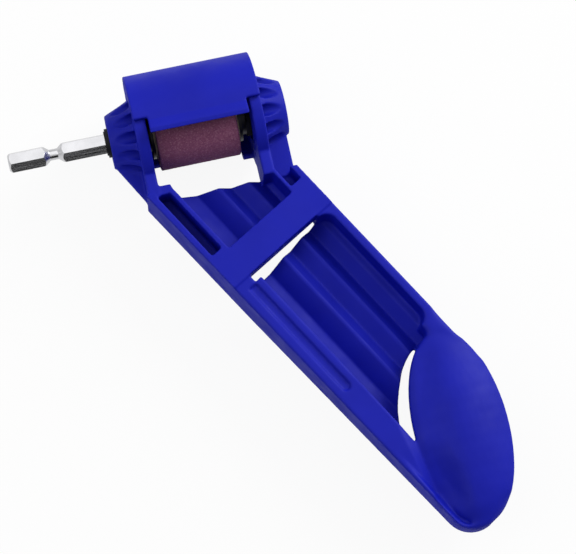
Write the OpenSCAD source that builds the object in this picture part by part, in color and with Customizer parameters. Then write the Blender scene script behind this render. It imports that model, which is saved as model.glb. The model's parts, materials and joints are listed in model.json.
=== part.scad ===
// Drill bit sharpener: a wheel in a guarded drum, at the head of a grooved handle.
// X runs along the arbor, +Y away from the handle, +Z out of the front.
// The origin is on the arbor axis, at the outer face of the drive hub.

/* [Drum] */
// Length of each cone between its hub face and its end plate
cone_len = 8.8; // [8.5:0.1:11]
// Thickness of the end plates and of the stems below them
plate_t = 4; // [3.4:0.1:5]
// Clear width between the end plates
chamber_len = 35.4; // [35:0.1:42]
// Radius of the end plates
plate_r = 19.1; // [18:0.1:23]
// Wall of the hubs round the bearings
hub_wall = 1.2; // [1.2:0.1:2]
// How far each cone widens from its hub face to its end plate
cone_flare = 4; // [3.6:0.1:4.6]
// Number of vent holes in each cone
vent_count = 12; // [8:1:13]
// Radius of each vent hole
vent_r = 2; // [1:0.1:2.2]
// Wall of the shell at the back of the drum
shell_wall = 2.1; // [1.6:0.1:2.6]
// Thickness of the hub wall outside each bearing
hub_lip = 0.8; // [0.6:0.1:1.2]

/* [Handle] */
// Angle between the handle and the arbor, half the point angle that it grinds
handle_angle = 60; // [56:0.5:62]
// Width of the handle
handle_w = 45; // [45:0.5:50]
// Half of the handle's depth
handle_half = 10; // [9:0.1:12]
// How far the back of the handle rises by its end
back_rise = 7; // [4:0.1:8]
// How far the left edge leans in by the end of the handle
left_lean = 1.5; // [0.5:0.1:2]
// Side walls of the handle
side_wall = 2.2; // [1.6:0.1:3]
// Height of the floor's ridges
ridge_z = 0.2; // [-1:0.1:1]
// Thickness of the grooved floor
floor_t = 2; // [1.6:0.1:2.4]
// Distance from the arbor axis to the top edge of the handle
neck_len = 23.4; // [22:0.1:26]
// Distance along the handle to the guide bar
bar_u = 56.2; // [55:0.1:60]
// Width of the guide bar
bar_w = 11.4; // [9:0.1:13]
// Thickness of the guide bar
bar_t = 7; // [4:0.1:7.5]
// Distance along the handle from the guide bar to the end of the lower trough
trough_len = 50.6; // [44:0.2:52]

/* [Thumb pad] */
// Half width of the pad
pad_a = 15.7; // [15:0.1:16.5]
// Half length of the pad
pad_b = 33; // [31:0.5:34]
// Height of the pad's crown above the middle of the handle
pad_top = 13; // [12:0.1:15]
// Wall of the pad
pad_wall = 2.4; // [2:0.1:3]
// Widest part of the gap beside the pad
gap_w = 2.8; // [2:0.1:3.5]

/* [Wheel cover] */
// Wall of the cover
cover_wall = 1.7; // [1.4:0.1:2.2]
// Gap between the cover and the end plates
cover_gap = 0.3; // [0.2:0.05:0.5]
// Reach of the finger lip past the drum's radius
lip_reach = 3.8; // [2.5:0.1:5]

/* [Arbor and wheel] */
// Length of the hex shank outside the hub
shank_len = 34.9; // [30:0.1:40]
// Width across the flats of the hex shank, a quarter inch
shank_af = 6.35; // [6:0.01:6.9]
// Diameter of the arbor in its bearings
arbor_d = 8; // [8:0.1:8.4]
// Diameter of the grinding wheel
wheel_d = 26; // [20:0.5:30]
// Length of the grinding wheel
wheel_len = 28; // [24:0.1:28]
// Outside diameter of the wheel flanges
flange_d = 17; // [14:0.5:19]
// Thickness of each wheel flange
flange_t = 1; // [0.8:0.1:1.2]
// Thickness of each blotter between a flange and the wheel
blotter_t = 0.6; // [0.4:0.1:0.8]
// Width across the flats of the clamp nut
nut_af = 13; // [11:0.1:13]
// Thickness of the clamp nut
nut_t = 4; // [3:0.1:4]

/* [Bearings] */
// Outside diameter of the bearings
bearing_d = 16; // [16:0.1:18]
// Width of the bearings
bearing_w = 5; // [4:0.1:5]
// Ball diameter
ball_d = 2.3; // [2:0.1:2.4]
// Balls in each bearing
ball_count = 9; // [6:1:10]

/* [Hidden] */
$fn = 96;
EPS = 0.01;

// Colours
blue = [0.10, 0.12, 0.68];
black = [0.04, 0.04, 0.05];
steel = [0.72, 0.73, 0.75];
stone = [0.42, 0.25, 0.32];
card = [0.75, 0.70, 0.58];

// Fits
slip = 0.04;
race_gap = 0.05;
turn_gap = 0.3;

// Stations along the arbor
plate_x = cone_len;
chamber_x = plate_x + plate_t;
far_plate_x = chamber_x + chamber_len;
far_cone_x = far_plate_x + plate_t;
drum_len = far_cone_x + cone_len;
washer_t = 0.5;
bearing_x = hub_lip + 0.3;
far_bearing_x = drum_len - hub_lip - 0.3 - washer_t - bearing_w;
clip_t = 0.8;
wheel_x = chamber_x + (chamber_len - wheel_len) / 2 - 1.1;
inner_flange_x = wheel_x - blotter_t - flange_t;
outer_blotter_x = wheel_x + wheel_len;
outer_flange_x = outer_blotter_x + blotter_t;
lock_washer_x = outer_flange_x + flange_t;
lock_washer_t = 1.6;
nut_x = lock_washer_x + lock_washer_t;

// Radii round the arbor
arbor_r = arbor_d / 2;
bearing_r = bearing_d / 2;
hub_r = bearing_r + hub_wall;
cone_r = hub_r + cone_flare;
vent_ring_r = cone_r - 1.2;
pitch_r = (arbor_r + bearing_r) / 2;
ball_bite = 0.15;
race_t = (bearing_r - arbor_r - ball_d) / 2 + ball_bite;
collar_r = 5;
cavity_r = max(bearing_r + 0.3, nut_af / sqrt(3) + 0.6);
clip_r = arbor_r + 1.7;
groove_r = arbor_r - 0.25;
screw_r = 1.5;
head_r = 2.25;

function turned(p, a) = [p[0] * cos(a) - p[1] * sin(a), p[0] * sin(a) + p[1] * cos(a)];
function arc(centre, r, from, to, steps) =
  [for (i = [0:steps]) centre + r * [cos(from + (to - from) * i / steps),
                                     sin(from + (to - from) * i / steps)]];

// Drum outline, with angles from +Y towards +Z
cover_inner_r = plate_r + cover_gap;
cover_r = cover_inner_r + cover_wall;
cover_start = -1;
cover_end = 90;
tongue_end = 98;
tongue_gap = 0.9;
lug_span = 15;
lug_r = cover_inner_r + 1.2;
shell_end = -113;
shell_corner = -127;
corner_len = 3.6;
lift_angle = 45;
tab_angles = [13, 76];
tab_r = 1.8;
tab_ring_r = plate_r - 2.1;
tab_play = 0.3;
stem_half = handle_half - 0.1;
rib_t = 1.6;

// The handle is drawn square to itself and then turned: u runs along it and w across it
left_w = -4.8;
right_w = left_w + handle_w;
sine = sin(handle_angle);
cosine = cos(handle_angle);
function at(u, w) = [u * cosine + w * sine, w * cosine - u * sine];
function u_at_neck(w, y) = (w * cosine - y) / sine;
top_left_u = u_at_neck(left_w, -neck_len);
top_right_u = u_at_neck(right_w, -neck_len);
top_left = at(top_left_u, left_w);
top_right = at(top_right_u, right_w);
out_left = left_w - 2;
out_right = right_w + 4;
bar_end_u = bar_u + bar_w;
slit_u = bar_end_u + 3.1;
slit_taper = 3;
slit_left = 2.6;
slit_right = right_w - 7.2;
trough_end_u = bar_end_u + trough_len;
slope_u = slit_u + 4;
slot_w = 4.2;
slot_left = left_w + side_wall + 0.3;
slot_right = slot_left + slot_w;
wall_t = 1.8;
floor_left = slot_right + wall_t;
pocket_w = 4.4;
pocket_right = right_w - side_wall;
pocket_left = pocket_right - pocket_w;
floor_right = pocket_left - 1.3;
pocket_end_u = bar_u - 1.7;
rim_left = 5.2;
rim_right = right_w - 2.9;
web_w = 4.1;
web_in = rim_right - web_w;
web_len = 14;
step_z = 0.5;
rim_z = handle_half - step_z;

// Grooved floor: ridges and valleys across the handle, as [w, height below the ridges]
floor_low = 4;
valleys = [
  [floor_left - 1.5, 0.6], [10.2, floor_low], [16.4, 0], [17.2, 0],
  [20.6, floor_low - 0.8], [25.4, 0], [26.2, 0], [30.2, floor_low - 0.4], [34.6, 0]
];

// Thumb pad: an ellipse with its long axis across the arbor
pad_u = bar_end_u + 84.4;
pad_w = right_w - 20;
pad_turn = 61.5;
gap_a = pad_a + 0.6;
gap_b = pad_b + 1.5;
gap_shift = turned([-gap_w, -3], pad_turn);
gap_end_w = 29.3;
crown_across = 26;
crown_along = 135;
tip_u = 172.5;
tip_w = 6.3;
tip_r = tip_w - left_w - left_lean;
end_u = 185;
edge_wall = 1.6;
wall_in = left_w + left_lean + edge_wall;
lap = 0.5;
skirt_z = 4.5;

// Hollow between the left rim and the pad: where it starts, which way it runs and how steep it is
hollow_u = 138;
hollow_w = 4.5;
hollow_turn = -17;
hollow_slope = 30;

function pad_point(t, a, b) =
  [pad_u, pad_w] + turned([a * cos(t), b * sin(t)], pad_turn);
// Puts an XY drawing on the arbor axis at x, with its first axis along Y and its second along Z
module on_axis(x) {
  translate([x, 0, 0]) rotate([90, 0, 90]) children();
}

module disc(x, r, t) {
  on_axis(x) cylinder(r = r, h = t);
}

module washer(x, outer_r, inner_r, t) {
  on_axis(x) difference() {
    cylinder(r = outer_r, h = t);
    translate([0, 0, -1]) cylinder(r = inner_r, h = t + 2);
  }
}

module sector(r, from, to) {
  steps = 12;
  far = r * 1.5;
  polygon(concat([[0, 0]], [for (i = [0:steps])
    far * [cos(from + (to - from) * i / steps), sin(from + (to - from) * i / steps)]]));
}

module ring_sector(outer_r, inner_r, from, to) {
  intersection() {
    difference() {
      circle(r = outer_r);
      circle(r = inner_r);
    }
    sector(outer_r, from, to);
  }
}

// A straight-sided slot that leaves a round end at the tab's place
module tab_slot(angle, way, r, reach) {
  rotate(angle) translate([tab_ring_r, 0]) {
    circle(r = r);
    rotate(way - angle) translate([0, -r]) square([reach, 2 * r]);
  }
}

module slab(points, low, high) {
  translate([0, 0, low]) linear_extrude(high - low) polygon(points);
}

module bar(u0, u1, w0, w1, low, high) {
  translate([u0, w0, low]) cube([u1 - u0, w1 - w0, high - low]);
}

module handle_outline() {
  pad_from = 66;
  pad_to = -80;
  steps = 30;
  polygon(concat(
    [[top_left_u, left_w], [top_right_u, right_w]],
    [for (i = [0:steps]) pad_point(pad_from + (pad_to - pad_from) * i / steps, pad_a, pad_b)],
    arc([tip_u, tip_w], tip_r, -4, -90, 12)
  ));
}

module pad_outline(a, b) {
  steps = 60;
  polygon([for (i = [0:steps - 1]) pad_point(360 * i / steps, a, b)]);
}

// Crowned solid whose top follows one arc across the pad and one along it
module crown(top) {
  steps = 16;
  half = pad_b + 2;
  profile = [for (i = [0:steps])
    let (y = -half + 2 * half * i / steps)
    [crown_across - (crown_along - sqrt(crown_along * crown_along - y * y)), y]];
  translate([pad_u, pad_w, top - crown_across]) rotate([-90, 0, pad_turn])
    rotate_extrude() polygon(concat([[0, -half]], profile, [[0, half]]));
}

// Cross-section of the grooved floor, drawn with w along X and height along Y
module floor_section() {
  top = [for (v = valleys) [v[0], ridge_z - v[1]]];
  left = [left_w + 1, ridge_z - 0.6];
  right = [right_w - 1, ridge_z];
  under = [for (p = concat([left], top, [right])) [p[0], p[1] - floor_t]];
  last = len(under) - 1;
  polygon(concat([left], top, [right], [for (i = [0:last]) under[last - i]]));
}

module floor_sheet() {
  translate([10, 0, 0]) rotate([90, 0, 90]) linear_extrude(150) floor_section();
}

module grooved_floor() {
  difference() {
    intersection() {
      floor_sheet();
      translate([0, 0, -handle_half]) linear_extrude(2 * handle_half) handle_outline();
    }
    // Gap beside the pad, which ends short of the web
    intersection() {
      translate([gap_shift[0], gap_shift[1], -handle_half - 1])
        linear_extrude(2 * handle_half + 2) pad_outline(gap_a, gap_b);
      bar(0, end_u, out_left, gap_end_w, -handle_half, handle_half);
    }
    guide_slit();
    rim_hollow();
    // Open underside of the web
    bar(trough_end_u, end_u, web_in + wall_t - EPS, out_right, -handle_half - 1, handle_half);
  }
}

// Slit below the guide bar, a little narrower towards the right
module guide_slit() {
  slab([[bar_u, slit_left], [slit_u, slit_left], [slit_u - slit_taper, slit_right],
        [bar_u, slit_right]], -handle_half - 1, handle_half + 1);
}

module side_walls() {
  bar(0, bar_u + 1, out_left, slot_left, -handle_half, handle_half);
  bar(bar_u, end_u, out_left, wall_in, -handle_half, rim_z);
  // Wall round the tip
  difference() {
    bar(tip_u, end_u, out_left, tip_w, -handle_half, rim_z);
    translate([tip_u, tip_w, -handle_half - 1])
      cylinder(r = tip_r - edge_wall, h = 2 * handle_half + 2);
  }
  bar(0, bar_u + 1, pocket_right, out_right, -handle_half, handle_half);
  bar(bar_u, trough_end_u + 12, pocket_right, out_right, -handle_half, rim_z);
}

module upper_walls() {
  // Long slot beside the left wall, and its floor
  bar(0, bar_u + 1, slot_right, floor_left, ridge_z - 3, handle_half);
  bar(0, bar_u + 1, out_left, floor_left, -handle_half + 2, -handle_half + 4);
  bar(0, bar_u + 1, slot_right, floor_left, -handle_half + 2, ridge_z);
  bar(pocket_end_u, bar_u + 1, out_left, floor_left, -handle_half + 2, handle_half);
  // Short pocket beside the right wall, and its floor
  bar(0, bar_u + 1, floor_right, pocket_left, ridge_z - 3, handle_half);
  bar(0, bar_u + 1, floor_right, out_right, -handle_half + 2, -handle_half + 4);
  bar(0, bar_u + 1, floor_right, pocket_left, -handle_half + 2, ridge_z);
  bar(pocket_end_u, bar_u + 1, floor_right, out_right, -handle_half + 2, handle_half);
}

module neck_walls() {
  // Closes the left slot, and the right pocket below the rib
  slab([[top_left[0] + 0.8, -neck_len - 1], [chamber_x + 5, -neck_len - 0.8],
        [chamber_x + 4, -neck_len + 2.4], [plate_x + 0.4, -neck_len + 2.4]],
       -handle_half + 2.5, handle_half - 0.3);
  slab([[far_plate_x + 0.5, -neck_len - 0.8], [top_right[0] + 0.2, -neck_len - 0.8],
        [top_right[0] - 0.1, -neck_len + 1.2], [far_plate_x + 0.5, -neck_len + 1.2]],
       -handle_half + 2.5, rib_t / 2 - 0.2);
}

module guide_bar() {
  bar(bar_u, bar_end_u, out_left, out_right, handle_half - bar_t, handle_half);
  bar(bar_u, slit_u, out_left, slit_left - 0.3, -handle_half + 2, rim_z);
  bar(bar_u, bar_end_u, rim_right - 1, out_right, -handle_half + 2, rim_z);
}

// What is open under the left rim
module rim_hollow() {
  rim_t = 3.2;
  bar(slit_u + wall_t, hollow_u, wall_in, rim_left - wall_t, -handle_half - 1, rim_z - rim_t);
  bar(hollow_u - 1, end_u, wall_in, rim_left - wall_t, -handle_half - 1, ridge_z + wall_t);
}

module left_rim() {
  groove_r0 = 1.55;
  groove_w = 0.8;
  groove_z = rim_z - 1;
  difference() {
    bar(bar_end_u - 1, end_u, out_left, rim_left, ridge_z - 2.2, rim_z);
    // Shallow groove with a round end
    bar(slit_u + 0.4, trough_end_u - groove_r0, groove_w - groove_r0,
        groove_w + groove_r0, groove_z, handle_half + 1);
    translate([trough_end_u - groove_r0, groove_w, groove_z])
      cylinder(r = groove_r0, h = handle_half);
    // Falls away towards the pad
    intersection() {
      translate([hollow_u, hollow_w, rim_z]) rotate([0, 0, hollow_turn])
        rotate([-hollow_slope, 0, 0]) cube([60, 30, 20]);
      bar(hollow_u, end_u, wall_in, out_right, 0, handle_half + 1);
    }
    rim_hollow();
    guide_slit();
  }
}

module right_rim() {
  near_u = bar_end_u + 0.9 + web_w;
  far_u = trough_end_u - web_w;
  last_u = trough_end_u + web_len;
  low = ridge_z - 3;
  difference() {
    union() {
      bar(bar_end_u - 1, last_u, rim_right, out_right, low, rim_z);
      bar(bar_end_u - 1, near_u, web_in, out_right, low, rim_z);
      // Web between the right rim and the pad, and the walls that close the trough
      bar(trough_end_u, last_u, web_in, out_right, rim_z - side_wall, rim_z);
      bar(trough_end_u, last_u, web_in, web_in + wall_t, low, rim_z);
      bar(far_u, trough_end_u + wall_t, web_in, out_right, low, rim_z);
    }
    // Round corners of the trough
    for (u = [near_u, far_u])
      translate([u, web_in, -handle_half])
        cylinder(r = web_w, h = 2 * handle_half + 1);
  }
}

// Room for the pad, which the walls and rims only lap
module pad_room() {
  translate([0, 0, ridge_z]) linear_extrude(handle_half)
    pad_outline(pad_a - lap, pad_b - lap);
}

module pad_hollow() {
  intersection() {
    translate([0, 0, -handle_half - 1]) linear_extrude(3 * handle_half)
      pad_outline(pad_a - pad_wall, pad_b - pad_wall);
    crown(pad_top - pad_wall);
  }
}

module pad() {
  difference() {
    intersection() {
      translate([0, 0, -handle_half]) linear_extrude(3 * handle_half) pad_outline(pad_a, pad_b);
      crown(pad_top);
    }
    // The skirt is short beside the gap
    intersection() {
      translate([0, 0, -handle_half - 1]) linear_extrude(handle_half + skirt_z + 1) difference() {
        pad_outline(pad_a + 1, pad_b + 1);
        translate(turned([pad_wall + 0.4, 0], pad_turn)) pad_outline(pad_a, pad_b);
      }
      bar(0, end_u, rim_left + 1, gap_end_w - 1, -handle_half - 2, handle_half);
    }
  }
}

// What is cut off the back, so that the handle gets shallower towards its end
module back_slope() {
  below = -handle_half - 1;
  translate([0, 2 * handle_w, 0]) rotate([90, 0, 0])
    linear_extrude(4 * handle_w) polygon([
      [slope_u, below], [end_u + 5, below], [end_u + 5, back_rise - handle_half],
      [slope_u, -handle_half - EPS]
    ]);
}

module handle() {
  difference() {
    union() {
      grooved_floor();
      intersection() {
        translate([0, 0, -handle_half]) linear_extrude(2 * handle_half) handle_outline();
        difference() {
          union() {
            side_walls();
            upper_walls();
            guide_bar();
            left_rim();
            right_rim();
          }
          pad_room();
        }
      }
      pad();
    }
    pad_hollow();
    back_slope();
  }
}

module end_plate(x) {
  on_axis(x) linear_extrude(plate_t) difference() {
    union() {
      circle(r = plate_r);
      translate([-neck_len - 1.2, -stem_half]) square([neck_len + 1.2, 2 * stem_half]);
      // Stop lug for the cover
      ring_sector(lug_r, plate_r - 1, cover_start - lug_span, cover_start - 0.7);
    }
    for (a = tab_angles) {
      tab_slot(a, a, tab_r + tab_play, 8);
      tab_slot(a, lift_angle, tab_r + tab_play, 8);
    }
  }
}

// The two cones mirror each other, so each is drawn from its hub face
module hub_cone() {
  rotate_extrude() polygon([
    [0, 0.4], [hub_r - 1.4, 0.4], [hub_r - 0.8, 0], [hub_r, 0],
    [cone_r, cone_len], [cone_r, cone_len + 1], [0, cone_len + 1]
  ]);
}

module hub_hollow(mouth_r, seat_depth) {
  translate([0, 0, -1]) cylinder(r = mouth_r, h = cone_len);
  translate([0, 0, hub_lip]) cylinder(r = bearing_r + slip, h = seat_depth);
  translate([0, 0, hub_lip + seat_depth - EPS])
    cylinder(r = cavity_r, h = cone_len + plate_t - hub_lip - seat_depth + 2);
}

module vents() {
  for (i = [0:vent_count - 1])
    rotate(15 + 360 * i / vent_count) translate([vent_ring_r, 0, -1])
      cylinder(r = vent_r, h = cone_len + plate_t + 2, $fn = 32);
}

module back_shell() {
  on_axis(chamber_x - EPS) linear_extrude(chamber_len + 2 * EPS) {
    ring_sector(plate_r, plate_r - shell_wall, shell_end, cover_start - 0.7);
    ring_sector(lug_r, plate_r - 1, cover_start - lug_span, cover_start - 0.7);
  }
  // The shell reaches lower beside the far plate
  on_axis(far_plate_x - corner_len) linear_extrude(corner_len + EPS)
    ring_sector(plate_r, plate_r - shell_wall, shell_corner, shell_end + 1);
}

// Thin ribs in the middle plane, outside the stems
module ribs() {
  slab([[0.4, -hub_r + 2], [0.4, -hub_r - 0.2], [top_left[0] + 0.6, -neck_len - 0.8],
        [plate_x + 1, -neck_len - 0.7], [plate_x + 1, -hub_r + 2]], -rib_t / 2, rib_t / 2);
  slab([[far_cone_x - 1, -hub_r + 2], [far_cone_x - 1, -neck_len - 0.7],
        [top_right[0] - 0.3, -neck_len - 0.7], [drum_len - 1.2, -hub_r + 0.4],
        [drum_len - 1.2, -hub_r + 2]], -rib_t / 2, rib_t / 2);
}

module body() {
  color(blue) difference() {
    union() {
      rotate(-handle_angle) handle();
      neck_walls();
      end_plate(plate_x);
      end_plate(far_plate_x);
      back_shell();
      ribs();
      on_axis(0) hub_cone();
      translate([drum_len, 0, 0]) mirror([1, 0, 0]) on_axis(0) hub_cone();
    }
    on_axis(0) hub_hollow(collar_r + turn_gap, bearing_x - hub_lip + bearing_w + 0.1);
    translate([drum_len, 0, 0]) mirror([1, 0, 0]) on_axis(0)
      hub_hollow(head_r + turn_gap, washer_t + 0.3 + bearing_w + 0.1);
    on_axis(0) vents();
    translate([drum_len, 0, 0]) mirror([1, 0, 0]) on_axis(0) vents();
  }
}

module cover_tab(angle, x) {
  on_axis(x) linear_extrude(plate_t - 0.3) intersection() {
    tab_slot(angle, angle, tab_r, 4);
    circle(r = cover_inner_r + 0.5);
  }
}

module wheel_cover() {
  tongue_len = chamber_len - 2 * tongue_gap;
  lip_t = 1.5;
  lip_base = cover_r * [cos(tongue_end), sin(tongue_end)];
  lip_tip = (plate_r + lip_reach) * [cos(tongue_end + 3), sin(tongue_end + 3)];
  color(blue) {
    on_axis(plate_x) linear_extrude(far_cone_x - plate_x)
      ring_sector(cover_r, cover_inner_r, cover_start, cover_end);
    on_axis(chamber_x + tongue_gap) linear_extrude(tongue_len) {
      ring_sector(cover_r, cover_inner_r, cover_end - 2, tongue_end);
      // Finger lip that flares out from the drum
      polygon([
        cover_inner_r * [cos(tongue_end - 0.5), sin(tongue_end - 0.5)],
        cover_r * [cos(tongue_end - 5), sin(tongue_end - 5)],
        lip_tip, lip_tip + [-lip_t, -0.4], lip_base + [-lip_t, -2]
      ]);
    }
    for (a = tab_angles) {
      cover_tab(a, plate_x);
      cover_tab(a, far_plate_x + 0.3);
    }
  }
}

// Hex bar with a rounded-off end and a retaining groove for a quick-change chuck
module shank() {
  corner_r = shank_af / sqrt(3);
  groove_at = 12.7;
  groove_len = 5.8;
  neck_r = 1.9;
  taper = 1.5;
  corner_turn = 52;
  intersection() {
    rotate(corner_turn) cylinder(r = corner_r, h = shank_len + EPS, $fn = 6);
    rotate_extrude() polygon([
      [0, 0], [corner_r - 1, 0], [corner_r + 0.1, 1.1],
      [corner_r + 0.1, groove_at - 0.8], [neck_r, groove_at + taper],
      [neck_r, groove_at + groove_len - taper], [corner_r + 0.1, groove_at + groove_len + 0.8],
      [corner_r + 0.1, shank_len + EPS], [0, shank_len + EPS]
    ]);
  }
}

module arbor() {
  thread_x = outer_flange_x;
  color(steel) difference() {
    union() {
      on_axis(-shank_len) shank();
      disc(0, arbor_r, far_bearing_x + bearing_w);
    }
    // Grooves for the two clips
    washer(bearing_x + bearing_w, arbor_r + 1, groove_r, clip_t + 0.1);
    washer(inner_flange_x - clip_t - 0.1, arbor_r + 1, groove_r, clip_t + 0.1);
    // Relief at each end of the thread
    washer(thread_x - 1.2, arbor_r + 1, arbor_r - 0.5, 1.2);
    disc(far_bearing_x + bearing_w - 8, screw_r + slip, 9);
  }
}

module shank_collar() {
  color(black) difference() {
    union() {
      disc(-1, collar_r, 1 + bearing_x);
      disc(-1.4, collar_r - 0.8, 1);
    }
    disc(-2, arbor_r + slip, bearing_x + 4);
  }
}

module grinding_wheel() {
  chamfer = 0.4;
  wheel_r = wheel_d / 2;
  color(stone) on_axis(wheel_x) rotate_extrude() polygon([
    [arbor_r + slip, 0], [wheel_r - chamfer, 0], [wheel_r, chamfer],
    [wheel_r, wheel_len - chamfer], [wheel_r - chamfer, wheel_len],
    [arbor_r + slip, wheel_len]
  ]);
}

module race_groove() {
  translate([0, 0, bearing_w / 2]) rotate_extrude() translate([pitch_r, 0])
    circle(r = ball_d / 2 + race_gap, $fn = 40);
}

module race(x, outer_r, inner_r) {
  color(steel) on_axis(x) difference() {
    cylinder(r = outer_r, h = bearing_w);
    translate([0, 0, -1]) cylinder(r = inner_r, h = bearing_w + 2);
    race_groove();
  }
}

module balls(x) {
  color(steel) on_axis(x + bearing_w / 2)
    for (i = [0:ball_count - 1])
      rotate(360 * i / ball_count) translate([pitch_r, 0, 0]) sphere(d = ball_d, $fn = 32);
}

module cage(x) {
  cage_w = ball_d + 0.8;
  cage_half = 0.45;
  color(steel) difference() {
    washer(x + (bearing_w - cage_w) / 2, pitch_r + cage_half, pitch_r - cage_half, cage_w);
    on_axis(x + bearing_w / 2) for (i = [0:ball_count - 1])
      rotate(360 * i / ball_count) rotate([0, 90, 0])
        cylinder(r = ball_d / 2 + race_gap, h = bearing_r, $fn = 32);
  }
}

module drive_outer_race() { race(bearing_x, bearing_r, bearing_r - race_t); }
module drive_inner_race() { race(bearing_x, arbor_r + race_t, arbor_r + slip); }
module drive_balls() { balls(bearing_x); }
module drive_cage() { cage(bearing_x); }
module far_outer_race() { race(far_bearing_x, bearing_r, bearing_r - race_t); }
module far_inner_race() { race(far_bearing_x, arbor_r + race_t, arbor_r + slip); }
module far_balls() { balls(far_bearing_x); }
module far_cage() { cage(far_bearing_x); }

// Open ring that springs into a groove in the arbor
module clip(x) {
  mouth = 2 * groove_r * 0.7;
  color(black) on_axis(x) difference() {
    cylinder(r = clip_r, h = clip_t);
    translate([0, 0, -1]) cylinder(r = groove_r + slip, h = clip_t + 2);
    translate([0, -mouth / 2, -1]) cube([clip_r + 1, mouth, clip_t + 2]);
  }
}

module bearing_clip() { clip(bearing_x + bearing_w + 0.05); }
module wheel_clip() { clip(inner_flange_x - clip_t); }

module flange(x) {
  color(black) washer(x, flange_d / 2, arbor_r + slip, flange_t);
}

module inner_flange() { flange(inner_flange_x); }
module outer_flange() { flange(outer_flange_x); }

module blotter(x) {
  color(card) washer(x, flange_d / 2, arbor_r + slip, blotter_t);
}

module inner_blotter() { blotter(wheel_x - blotter_t); }
module outer_blotter() { blotter(outer_blotter_x); }

module lock_washer() {
  split = 0.8;
  color(steel) difference() {
    washer(lock_washer_x, arbor_r + 2.4, arbor_r + slip, lock_washer_t);
    translate([lock_washer_x - 1, 0, -split / 2])
      cube([lock_washer_t + 2, arbor_r + 4, split]);
  }
}

module clamp_nut() {
  corner_r = nut_af / sqrt(3);
  color(steel) on_axis(nut_x) difference() {
    intersection() {
      cylinder(r = corner_r, h = nut_t, $fn = 6);
      rotate_extrude() polygon([
        [0, 0], [corner_r - 0.8, 0], [corner_r, 0.45],
        [corner_r, nut_t - 0.45], [corner_r - 0.8, nut_t], [0, nut_t]
      ]);
    }
    translate([0, 0, -1]) cylinder(r = arbor_r + slip, h = nut_t + 2);
  }
}

module end_washer() {
  color(steel) washer(far_bearing_x + bearing_w, arbor_r + 0.6, screw_r + slip, washer_t);
}

module end_screw() {
  head_x = far_bearing_x + bearing_w + washer_t;
  head_t = 1;
  socket_af = 2;
  color(steel) difference() {
    union() {
      disc(head_x - 7, screw_r, 7 + EPS);
      disc(head_x, head_r, head_t);
    }
    on_axis(head_x + 0.2) cylinder(r = socket_af / sqrt(3), h = head_t, $fn = 6);
  }
}

body();
wheel_cover();
arbor();
shank_collar();
grinding_wheel();
drive_outer_race();
drive_inner_race();
drive_balls();
drive_cage();
far_outer_race();
far_inner_race();
far_balls();
far_cage();
bearing_clip();
wheel_clip();
inner_flange();
inner_blotter();
outer_blotter();
outer_flange();
lock_washer();
clamp_nut();
end_washer();
end_screw();
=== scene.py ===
"""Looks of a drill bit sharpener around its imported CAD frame.

Sizes are in millimetres and become metres through MM. X runs along the arbor, +Y points away from
the handle and +Z comes out of the front.
"""

import json
import math

import bmesh
import bpy
from mathutils import Euler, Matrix, Vector, noise as solid_noise


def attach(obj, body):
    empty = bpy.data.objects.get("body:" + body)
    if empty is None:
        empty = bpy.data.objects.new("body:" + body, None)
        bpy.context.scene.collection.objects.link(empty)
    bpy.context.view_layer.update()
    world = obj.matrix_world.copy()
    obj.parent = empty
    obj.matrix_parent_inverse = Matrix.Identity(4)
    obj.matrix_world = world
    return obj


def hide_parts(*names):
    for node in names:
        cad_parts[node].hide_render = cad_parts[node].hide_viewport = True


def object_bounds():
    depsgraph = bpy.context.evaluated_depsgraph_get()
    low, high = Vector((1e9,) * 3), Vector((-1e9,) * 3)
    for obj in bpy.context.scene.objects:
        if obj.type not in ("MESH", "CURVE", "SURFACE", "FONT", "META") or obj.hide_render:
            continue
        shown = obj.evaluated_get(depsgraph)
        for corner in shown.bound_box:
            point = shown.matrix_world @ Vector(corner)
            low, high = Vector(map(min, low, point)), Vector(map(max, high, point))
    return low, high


MM = 0.001

# Camera: what it aims at, how far away it stands, and how it is tilted and rolled
AIM = (49.1, -59.05, 1.85)
CAMERA_DISTANCE = 724
CAMERA_TILT = (11.94, -4.96, -11.99)
FOCAL_LENGTH = 134.34
SENSOR_WIDTH = 36

# Handle: its angle to the arbor, and where its left edge lies across it by the pad
HANDLE_ANGLE = 60
RIM_EDGE = -3.4

# Thumb pad of the handle: its centre, half axes and turn
PAD_CENTRE = (93.49, -121.53)
PAD_HALF = (15.7, 33)
PAD_TURN = 1.5
# Dip of the pad towards the left rim: its depth, where it is deepest and how far it spreads; and
# between which shares of the pad, distances from the rim's edge and heights it sets in
DIP_DEPTH = 3.6
DIP_ANGLE = 221
DIP_SPREAD = 38
DIP_SHARES = (0.4, 0.95)
DIP_INSIDE = (0.9, 2.4)
DIP_HEIGHTS = (-2, 4)
# Shallow dish along the pad's left half: its depth, where it lies across the pad and its width;
# and between which shares of the pad it ends and heights it sets in
DISH_DEPTH = 0.9
DISH_ACROSS = -0.5
DISH_WIDTH = 0.32
DISH_SHARES = (0.75, 1)
DISH_HEIGHTS = (0, 6)
# Where the pad's edge runs into the rims, as angles round it, and how softly
BLENDS = [(36, 124), (212, 312)]
BLEND_ENDS = 8
BLEND_WIDTH = 0.26
BLEND_HEIGHTS = (1, 3)
BLEND_ROUNDS = 100
# Fill of the pocket between the pad and the wall at the tip: from which height, up to which
# height, how far up its skin must face, between which angles, how softly it ends, and between
# which shares of the pad it sets in
FILLET_FLOOR = 2
FILLET_Z = 8.6
FILLET_FACING = 0.2
FILLET_ANGLES = (238, 276)
FILLET_ENDS = 10
FILLET_SHARES = (0.88, 0.96)
# Height to which the wall round the tip is trimmed, and the same places for it
TRIM_Z = 7.3
TRIM_ANGLES = (228, 262)
TRIM_ENDS = 14
TRIM_SHARES = (0.9, 0.98)
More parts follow.
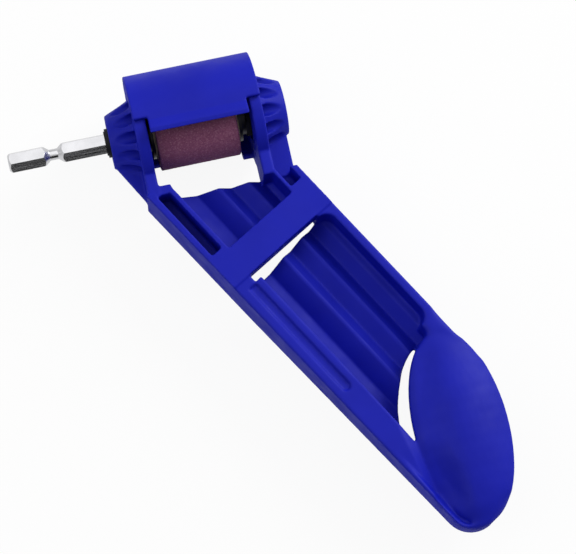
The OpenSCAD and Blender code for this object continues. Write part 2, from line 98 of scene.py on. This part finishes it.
# How far the skin rolls down over the tip, the same places, and between which heights it sets in
ROLL_DEPTH = 2.4
ROLL_ANGLES = (236, 310)
ROLL_ENDS = 16
ROLL_SHARES = (0.82, 1.15)
ROLL_HEIGHTS = (2, 8)

# Rounding of the mouldings: spacing of each mesh, and rounds and share of its smoothing
BODY_VOXEL = 0.4
COVER_VOXEL = 0.32
ROUNDING = 3
SMOOTHING = 0.5
# Bevel of the arbor's edges, and how sharp an edge gets it
METAL_BEVEL = 0.12
BEVEL_ANGLE = 28
# Grinding wheel: spacing of its mesh, depth of its grain, its coarse and fine lumps per
# millimetre with the share of the fine ones, and size and colours of its cells
GRAIN_VOXEL = 0.3
GRAIN_DEPTH = 0.09
COARSE_GRAIN = 1.9
FINE_GRAIN = 4.1
FINE_SHARE = 0.6
GRAIN_CELL = 0.36
GRAIN_COLOURS = [
    (0.0, (130, 74, 104)), (0.35, (141, 82, 113)), (0.8, (150, 89, 120)), (0.97, (168, 112, 136)),
]

# Lamps: name, place in metres, width, height and power; and the world's strength
LAMPS = [
    ("key", (1.05, 0.5, 0.7), 0.6, 0.9, 14.5),
    ("left", (-1.0, -0.1, 1.0), 0.5, 0.9, 4),
    ("top", (-0.1, 0.45, 1.35), 1.8, 1.8, 7),
]
WORLD_STRENGTH = 0.24
# Floor: how far it reaches in metres, and the share of it that glows white to a ray of sight
FLOOR_REACH = 4
FLOOR_GLOW = 0.92
# Black card that only reflections show: its place, width and height in metres
FLAG_PLACE = (-0.12, -0.22, 0.11)
FLAG_SIZE = (0.36, 0.26)

# Colours of the plastic, the rubber and the blotter card along their noise
BLUES = [(0.3, (16, 24, 160)), (0.7, (18, 27, 171))]
BLACKS = [(0.4, (16, 16, 18)), (0.75, (34, 34, 36))]
CARDS = [(0.3, (150, 138, 112)), (0.7, (190, 178, 148))]
# Painted shade in the plastic's sheen: its specular level on upright faces and on those that face
# up, and how far up they face
SHADED_UPRIGHT_SHEEN = 0.03
UNSHADED_UPWARD_SHEEN = 0.16
SHADED_FACING = 0.1
UNSHADED_FACING = 0.6
# Steels: 8-bit colour, roughness, size and depth of the machining lines; how far the roughness
# swings either way, and the brightness of the dull patches
ROUGHNESS_SWING = 0.07
DULLNESS = 0.88
STEELS = {
    "plated_steel": ((205, 205, 208), 0.24, 0.25, 0.004),
    "bearing_steel": ((200, 202, 206), 0.16, 0.3, 0.002),
    "black_steel": ((40, 40, 44), 0.42, 0.4, 0.01),
    "cage_steel": ((176, 170, 158), 0.34, 0.4, 0.006),
}

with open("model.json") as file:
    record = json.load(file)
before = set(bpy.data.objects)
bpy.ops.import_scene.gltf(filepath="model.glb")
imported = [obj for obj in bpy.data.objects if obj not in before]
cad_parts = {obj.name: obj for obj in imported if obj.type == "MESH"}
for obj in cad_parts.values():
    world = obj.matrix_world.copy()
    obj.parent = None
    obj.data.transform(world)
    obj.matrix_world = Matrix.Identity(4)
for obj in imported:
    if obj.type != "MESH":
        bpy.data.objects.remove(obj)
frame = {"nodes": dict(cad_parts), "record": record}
cad_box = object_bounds()
scene = bpy.context.scene


# ---------------------------------------------------------------- mesh helpers


def add_object(name, mesh):
    obj = bpy.data.objects.new(name, mesh)
    scene.collection.objects.link(obj)
    return obj


def add_sheet(name, half_width, half_depth, height=0):
    """A flat rectangle round the origin at the given height, in metres."""
    mesh = bpy.data.meshes.new(name)
    corners = [(-half_width, -half_depth, height), (half_width, -half_depth, height),
               (half_width, half_depth, height), (-half_width, half_depth, height)]
    mesh.from_pydata(corners, [], [(0, 1, 2, 3)])
    return add_object(name, mesh)


def apply_modifiers(obj):
    """Turns the object's modifiers into its mesh."""
    bpy.context.view_layer.update()
    shown = obj.evaluated_get(bpy.context.evaluated_depsgraph_get())
    mesh = bpy.data.meshes.new_from_object(shown)
    obj.modifiers.clear()
    obj.data = mesh


def rim_distance(x, y):
    """How far a place in millimetres lies inside the left edge of the handle's end."""
    lean = math.radians(HANDLE_ANGLE)
    return x * math.sin(lean) + y * math.cos(lean) - RIM_EDGE


def welded_copy(node, name):
    """A copy of a CAD node's mesh whose faces share their corners."""
    obj = add_object(name, frame["nodes"][node].data.copy())
    shape = bmesh.new()
    shape.from_mesh(obj.data)
    bmesh.ops.remove_doubles(shape, verts=shape.verts, dist=0.001 * MM)
    shape.to_mesh(obj.data)
    shape.free()
    return obj


def shade_smooth(obj):
    obj.data.polygons.foreach_set("use_smooth", [True] * len(obj.data.polygons))


def round_edges(obj, voxel, rounds):
    """Fuses the mesh and gives its edges the small radii of a moulding."""
    remesh = obj.modifiers.new("fuse", "REMESH")
    remesh.mode = "VOXEL"
    remesh.voxel_size = voxel * MM
    smooth = obj.modifiers.new("round", "SMOOTH")
    smooth.factor = SMOOTHING
    smooth.iterations = rounds
    apply_modifiers(obj)
    shade_smooth(obj)


# ---------------------------------------------------------------- materials


def srgb(red, green, blue):
    """A shader colour from 8-bit display values."""
    def linear(value):
        value = value / 255
        return value / 12.92 if value <= 0.04045 else ((value + 0.055) / 1.055) ** 2.4

    return (linear(red), linear(green), linear(blue), 1)


def shades(stops):
    """The stops of a ramp from (position, 8-bit display colour)."""
    return [(position, srgb(*colour)) for position, colour in stops]


def new_material(name, roughness, metallic=0.0, specular=0.5):
    """A material with its node tree, its Principled shader and its object coordinates."""
    material = bpy.data.materials.new(name)
    material.use_nodes = True
    tree = material.node_tree
    shader = tree.nodes["Principled BSDF"]
    shader.inputs["Roughness"].default_value = roughness
    shader.inputs["Metallic"].default_value = metallic
    shader.inputs["Specular IOR Level"].default_value = specular
    place = tree.nodes.new("ShaderNodeTexCoord").outputs["Object"]
    return material, tree, shader, place


def wear(obj, material):
    obj.data.materials.clear()
    obj.data.materials.append(material)


def noise(tree, place, size, detail=2.0, stretch=(1, 1, 1)):
    """Noise whose features measure about size millimetres."""
    mapping = tree.nodes.new("ShaderNodeMapping")
    mapping.inputs["Scale"].default_value = [s / (size * MM) for s in stretch]
    tree.links.new(place, mapping.inputs["Vector"])
    texture = tree.nodes.new("ShaderNodeTexNoise")
    texture.inputs["Scale"].default_value = 1
    texture.inputs["Detail"].default_value = detail
    tree.links.new(mapping.outputs["Vector"], texture.inputs["Vector"])
    return texture.outputs["Fac"]


def ramp(tree, value, stops):
    """Colours along a value, as (position, shader colour)."""
    node = tree.nodes.new("ShaderNodeValToRGB")
    while len(node.color_ramp.elements) < len(stops):
        node.color_ramp.elements.new(0.5)
    for element, (position, colour) in zip(node.color_ramp.elements, stops):
        element.position = position
        element.color = colour
    tree.links.new(value, node.inputs["Fac"])
    return node.outputs["Color"]


def spread(tree, value, low, high, start=0.3, end=0.7):
    """Maps a value between start and end to the range from low to high."""
    node = tree.nodes.new("ShaderNodeMapRange")
    node.inputs["From Min"].default_value = start
    node.inputs["From Max"].default_value = end
    node.inputs["To Min"].default_value = low
    node.inputs["To Max"].default_value = high
    tree.links.new(value, node.inputs["Value"])
    return node.outputs["Result"]


def bump(tree, shader, height, depth, before=None):
    """Adds relief of the given depth in millimetres."""
    node = tree.nodes.new("ShaderNodeBump")
    node.inputs["Strength"].default_value = 1
    node.inputs["Distance"].default_value = depth * MM
    tree.links.new(height, node.inputs["Height"])
    if before is not None:
        tree.links.new(before, node.inputs["Normal"])
    tree.links.new(node.outputs["Normal"], shader.inputs["Normal"])
    return node.outputs["Normal"]


def blue_plastic():
    """Satin moulded ABS with a fine spark-eroded grain and faint flow marks."""
    material, tree, shader, place = new_material("blue_plastic", 0.55,
                                                 specular=UNSHADED_UPWARD_SHEEN)
    flow = noise(tree, place, 22, 3)
    colour = ramp(tree, flow, shades(BLUES))
    tree.links.new(colour, shader.inputs["Base Color"])
    patches = noise(tree, place, 6, 4)
    tree.links.new(spread(tree, patches, 0.5, 0.62), shader.inputs["Roughness"])
    # Painted shade: the specular level is lowered on upright faces, by the world's up
    # direction, so that the side walls look darker, as if in shade. The glTF exporter
    # drops this link and leaves its own level of 0.5 there.
    geometry = tree.nodes.new("ShaderNodeNewGeometry")
    facing = tree.nodes.new("ShaderNodeSeparateXYZ")
    tree.links.new(geometry.outputs["Normal"], facing.inputs["Vector"])
    painted_shade_sheen = spread(tree, facing.outputs["Z"], SHADED_UPRIGHT_SHEEN, UNSHADED_UPWARD_SHEEN,
                   SHADED_FACING, UNSHADED_FACING)
    tree.links.new(painted_shade_sheen, shader.inputs["Specular IOR Level"])
    grain = noise(tree, place, 0.35, 3)
    sink = noise(tree, place, 9, 1)
    first = bump(tree, shader, grain, 0.012)
    bump(tree, shader, sink, 0.12, first)
    return material


def steel(name, colour, roughness, lines, line_depth):
    """Metal with fine machining lines drawn out along the arbor."""
    material, tree, shader, place = new_material(name, roughness, metallic=1.0)
    cloud = noise(tree, place, 5, 3)
    bright = srgb(*colour)
    dull = tuple(DULLNESS * c for c in bright[:3]) + (1,)
    tree.links.new(ramp(tree, cloud, [(0.35, dull), (0.65, bright)]), shader.inputs["Base Color"])
    marks = noise(tree, place, lines, 4, stretch=(0.02, 1, 1))
    polish = spread(tree, marks, roughness - ROUGHNESS_SWING, roughness + ROUGHNESS_SWING)
    tree.links.new(polish, shader.inputs["Roughness"])
    bump(tree, shader, marks, line_depth)
    return material


def corundum():
    """Pinkish brown fused grains in a darker bond."""
    material, tree, shader, place = new_material("corundum", 0.85, specular=0.3)
    cells = tree.nodes.new("ShaderNodeTexVoronoi")
    cells.inputs["Scale"].default_value = 1 / (GRAIN_CELL * MM)
    tree.links.new(place, cells.inputs["Vector"])
    split = tree.nodes.new("ShaderNodeSeparateColor")
    tree.links.new(cells.outputs["Color"], split.inputs["Color"])
    grains = ramp(tree, split.outputs["Red"], shades(GRAIN_COLOURS))
    tree.links.new(grains, shader.inputs["Base Color"])
    rough = noise(tree, place, 0.25, 4)
    first = bump(tree, shader, rough, 0.03)
    bump(tree, shader, cells.outputs["Distance"], 0.03, first)
    return material


def rubber():
    """Matt black rubber."""
    material, tree, shader, place = new_material("black_rubber", 0.65, specular=0.3)
    dust = noise(tree, place, 1.5, 4)
    colour = ramp(tree, dust, shades(BLACKS))
    tree.links.new(colour, shader.inputs["Base Color"])
    bump(tree, shader, noise(tree, place, 0.2, 2), 0.01)
    return material


def card():
    """Grey-brown blotter card with its fibres."""
    material, tree, shader, place = new_material("blotter_card", 0.9, specular=0.2)
    fibres = noise(tree, place, 0.4, 5)
    colour = ramp(tree, fibres, shades(CARDS))
    tree.links.new(colour, shader.inputs["Base Color"])
    bump(tree, shader, fibres, 0.03)
    return material


# ---------------------------------------------------------------- mouldings


def smoothstep(low, high, value):
    share = min(max((value - low) / (high - low), 0), 1)
    return share * share * (3 - 2 * share)


def pad_place(x, y):
    """A place in millimetres as a share of the pad's half axes and an angle round it."""
    turn = math.radians(PAD_TURN)
    right = x - PAD_CENTRE[0]
    up = y - PAD_CENTRE[1]
    across = (right * math.cos(turn) + up * math.sin(turn)) / PAD_HALF[0]
    along = (up * math.cos(turn) - right * math.sin(turn)) / PAD_HALF[1]
    return math.hypot(across, along), math.degrees(math.atan2(along, across)) % 360


def pad_dip(x, y, z):
    """How far the pad's skin sinks at a place in millimetres, beside the left rim."""
    share, angle = pad_place(x, y)
    side = 1 - smoothstep(0, DIP_SPREAD, abs(angle - DIP_ANGLE))
    # The outer skin of the left rim stays where it is
    inside = smoothstep(*DIP_INSIDE, rim_distance(x, y))
    return DIP_DEPTH * side * inside * smoothstep(*DIP_SHARES, share) * smoothstep(*DIP_HEIGHTS, z)


def pad_dish(x, y, z):
    """Depth in millimetres of the shallow dish in the pad's top."""
    share, angle = pad_place(x, y)
    across = share * math.cos(math.radians(angle))
    trough = math.exp(-(((across - DISH_ACROSS) / DISH_WIDTH) ** 2))
    within = 1 - smoothstep(*DISH_SHARES, share)
    return DISH_DEPTH * trough * within * smoothstep(*DISH_HEIGHTS, z)


def sector(angle, start, end, soft):
    """1 between two angles, falling to 0 at its ends."""
    return smoothstep(start, start + soft, angle) * (1 - smoothstep(end - soft, end, angle))


def tip_fillet(x, y, z, facing):
    """How far the skin of the narrow pocket at the tip rises in millimetres."""
    share, angle = pad_place(x, y)
    if facing < FILLET_FACING or not FILLET_FLOOR < z < FILLET_Z:
        return 0
    place = sector(angle, *FILLET_ANGLES, FILLET_ENDS) * smoothstep(*FILLET_SHARES, share)
    return (FILLET_Z - z) * place


def tip_trim(x, y, z):
    """How far the wall round the tip sinks in millimetres to lie level with the pad."""
    share, angle = pad_place(x, y)
    place = sector(angle, *TRIM_ANGLES, TRIM_ENDS) * smoothstep(*TRIM_SHARES, share)
    return max(0, z - TRIM_Z) * place


def tip_roll(x, y, z):
    """How far the skin sinks in millimetres where it rolls over the tip."""
    share, angle = pad_place(x, y)
    place = sector(angle, *ROLL_ANGLES, ROLL_ENDS) * smoothstep(*ROLL_SHARES, share)
    return ROLL_DEPTH * place * smoothstep(*ROLL_HEIGHTS, z)


def blend_weight(x, y, z):
    """How strongly a place in millimetres belongs to the pad's soft edge."""
    share, angle = pad_place(x, y)
    ring = 1 - smoothstep(0.4 * BLEND_WIDTH, BLEND_WIDTH, abs(share - 1))
    place = max(sector(angle, *ends, BLEND_ENDS) for ends in BLENDS)
    return ring * place * smoothstep(*BLEND_HEIGHTS, z)


def make_body():
    shell = welded_copy("body", "moulded_body")
    round_edges(shell, BODY_VOXEL, ROUNDING)
    blend = shell.vertex_groups.new(name="blend")
    facing = [corner.normal.z for corner in shell.data.vertices]
    for corner in shell.data.vertices:
        x, y, z = corner.co / MM
        weight = blend_weight(x, y, z)
        if weight > 0:
            blend.add([corner.index], weight, "REPLACE")
        z += tip_fillet(x, y, z, facing[corner.index])
        z -= pad_dip(x, y, z) + pad_dish(x, y, z) + tip_roll(x, y, z)
        z -= tip_trim(x, y, z)
        corner.co.z = z * MM
    soft = shell.modifiers.new("blend", "SMOOTH")
    soft.factor = SMOOTHING
    soft.iterations = BLEND_ROUNDS
    soft.vertex_group = "blend"
    apply_modifiers(shell)
    return shell


def make_cover():
    shell = welded_copy("wheel_cover", "moulded_cover")
    round_edges(shell, COVER_VOXEL, ROUNDING)
    return shell


def make_arbor():
    """The arbor with the small bevels of a turned and milled bar."""
    bar = welded_copy("arbor", "bevelled_arbor")
    bevel = bar.modifiers.new("bevel", "BEVEL")
    bevel.width = METAL_BEVEL * MM
    bevel.segments = 2
    bevel.limit_method = "ANGLE"
    bevel.angle_limit = math.radians(BEVEL_ANGLE)
    apply_modifiers(bar)
    return bar


def make_wheel():
    """The wheel with its grain, sunk into the CAD wheel's surface."""
    stone = welded_copy("grinding_wheel", "grained_wheel")
    remesh = stone.modifiers.new("fuse", "REMESH")
    remesh.mode = "VOXEL"
    remesh.voxel_size = GRAIN_VOXEL * MM
    apply_modifiers(stone)
    shade_smooth(stone)
    outward = [corner.normal.copy() for corner in stone.data.vertices]
    for corner, normal in zip(stone.data.vertices, outward):
        place = corner.co / MM
        coarse = solid_noise.noise(place * COARSE_GRAIN)
        grain = coarse + FINE_SHARE * solid_noise.noise(place * FINE_GRAIN)
        corner.co -= normal * GRAIN_DEPTH * (1 + grain) * MM
    return stone


# ---------------------------------------------------------------- stage


def make_camera():
    data = bpy.data.cameras.new("camera")
    data.lens = FOCAL_LENGTH
    data.sensor_width = SENSOR_WIDTH
    data.clip_start = 0.01
    data.clip_end = 20
    camera = bpy.data.objects.new("camera", data)
    scene.collection.objects.link(camera)
    turn = Euler([math.radians(a) for a in CAMERA_TILT], "ZYX").to_matrix()
    camera.rotation_mode = "QUATERNION"
    camera.rotation_quaternion = turn.to_quaternion()
    camera.location = Vector(AIM) * MM + turn @ Vector((0, 0, CAMERA_DISTANCE * MM))
    scene.camera = camera


def add_lamp(name, place, width, height, power):
    """A soft box at a place in metres that faces the middle of the part."""
    data = bpy.data.lights.new(name, "AREA")
    data.shape = "RECTANGLE"
    data.size = width
    data.size_y = height
    data.energy = power
    lamp = bpy.data.objects.new(name, data)
    scene.collection.objects.link(lamp)
    lamp.location = place
    lamp.rotation_mode = "QUATERNION"
    away = Vector(place) - Vector(AIM) * MM
    lamp.rotation_quaternion = away.to_track_quat("Z", "Y")


def white_for_sight(tree):
    """A factor that is 1 for rays that see the background straight or in a reflection."""
    path = tree.nodes.new("ShaderNodeLightPath")
    total = path.outputs["Is Camera Ray"]
    for name in ("Is Glossy Ray", "Is Transmission Ray"):
        larger = tree.nodes.new("ShaderNodeMath")
        larger.operation = "MAXIMUM"
        tree.links.new(total, larger.inputs[0])
        tree.links.new(path.outputs[name], larger.inputs[1])
        total = larger.outputs["Value"]
    return total


def make_lights():
    for lamp in LAMPS:
        add_lamp(*lamp)
    world = bpy.data.worlds.new("studio")
    scene.world = world
    world.use_nodes = True
    tree = world.node_tree
    light = tree.nodes["Background"]
    light.inputs["Color"].default_value = (1, 1, 1, 1)
    light.inputs["Strength"].default_value = WORLD_STRENGTH
    backdrop = tree.nodes.new("ShaderNodeBackground")
    backdrop.inputs["Strength"].default_value = 1
    choose = tree.nodes.new("ShaderNodeMixShader")
    tree.links.new(white_for_sight(tree), choose.inputs["Fac"])
    tree.links.new(light.outputs["Background"], choose.inputs[1])
    tree.links.new(backdrop.outputs["Background"], choose.inputs[2])
    tree.links.new(choose.outputs["Shader"], tree.nodes["World Output"].inputs["Surface"])


def make_flag():
    """A black card beside the view, seen only where the shank's lower flats reflect it."""
    flag = add_sheet("flag", FLAG_SIZE[0] / 2, FLAG_SIZE[1] / 2)
    flag.location = FLAG_PLACE
    flag.rotation_euler = (math.radians(90), 0, 0)
    flag.visible_camera = False
    flag.visible_diffuse = False
    flag.visible_shadow = False
    material = bpy.data.materials.new("flag_black")
    material.use_nodes = True
    shader = material.node_tree.nodes["Principled BSDF"]
    shader.inputs["Base Color"].default_value = (0.01, 0.01, 0.01, 1)
    shader.inputs["Specular IOR Level"].default_value = 0
    wear(flag, material)


def make_floor():
    """A white floor under the part that keeps a pale shadow."""
    floor = add_sheet("floor", FLOOR_REACH, FLOOR_REACH, cad_box[0].z)
    material = bpy.data.materials.new("floor_white")
    material.use_nodes = True
    tree = material.node_tree
    shader = tree.nodes["Principled BSDF"]
    shader.inputs["Base Color"].default_value = (0.9, 0.9, 0.9, 1)
    shader.inputs["Roughness"].default_value = 1
    shader.inputs["Specular IOR Level"].default_value = 0
    glow = tree.nodes.new("ShaderNodeEmission")
    glow.inputs["Strength"].default_value = 1
    # The rest of what is seen is lit, so that it keeps the shadow
    share = tree.nodes.new("ShaderNodeMath")
    share.operation = "MULTIPLY"
    share.inputs[1].default_value = FLOOR_GLOW
    tree.links.new(white_for_sight(tree), share.inputs[0])
    choose = tree.nodes.new("ShaderNodeMixShader")
    tree.links.new(share.outputs["Value"], choose.inputs["Fac"])
    tree.links.new(shader.outputs["BSDF"], choose.inputs[1])
    tree.links.new(glow.outputs["Emission"], choose.inputs[2])
    output = tree.nodes["Material Output"]
    tree.links.new(choose.outputs["Shader"], output.inputs["Surface"])
    wear(floor, material)


# ---------------------------------------------------------------- the part


def dress():
    """Gives every piece its finish and puts the mouldings on their bodies."""
    finishes = {name: steel(name, *finish) for name, finish in STEELS.items()}
    finishes.update({
        "black_rubber": rubber(),
        "blotter_card": card(),
        "corundum": corundum(),
        "blue_plastic": blue_plastic(),
    })
    for entry in frame["record"]["subparts"]:
        wear(frame["nodes"][entry["node"]], finishes[entry["material_slot"]])
    made = (
        (make_body(), "body", "housing", "blue_plastic"),
        (make_cover(), "wheel_cover", "guard", "blue_plastic"),
        (make_arbor(), "arbor", "spindle", "plated_steel"),
        (make_wheel(), "grinding_wheel", "spindle", "corundum"),
    )
    for obj, node, body, slot in made:
        wear(obj, finishes[slot])
        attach(obj, body)
        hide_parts(node)


scene.view_settings.view_transform = "Standard"
make_camera()
make_lights()
make_flag()
make_floor()
dress()
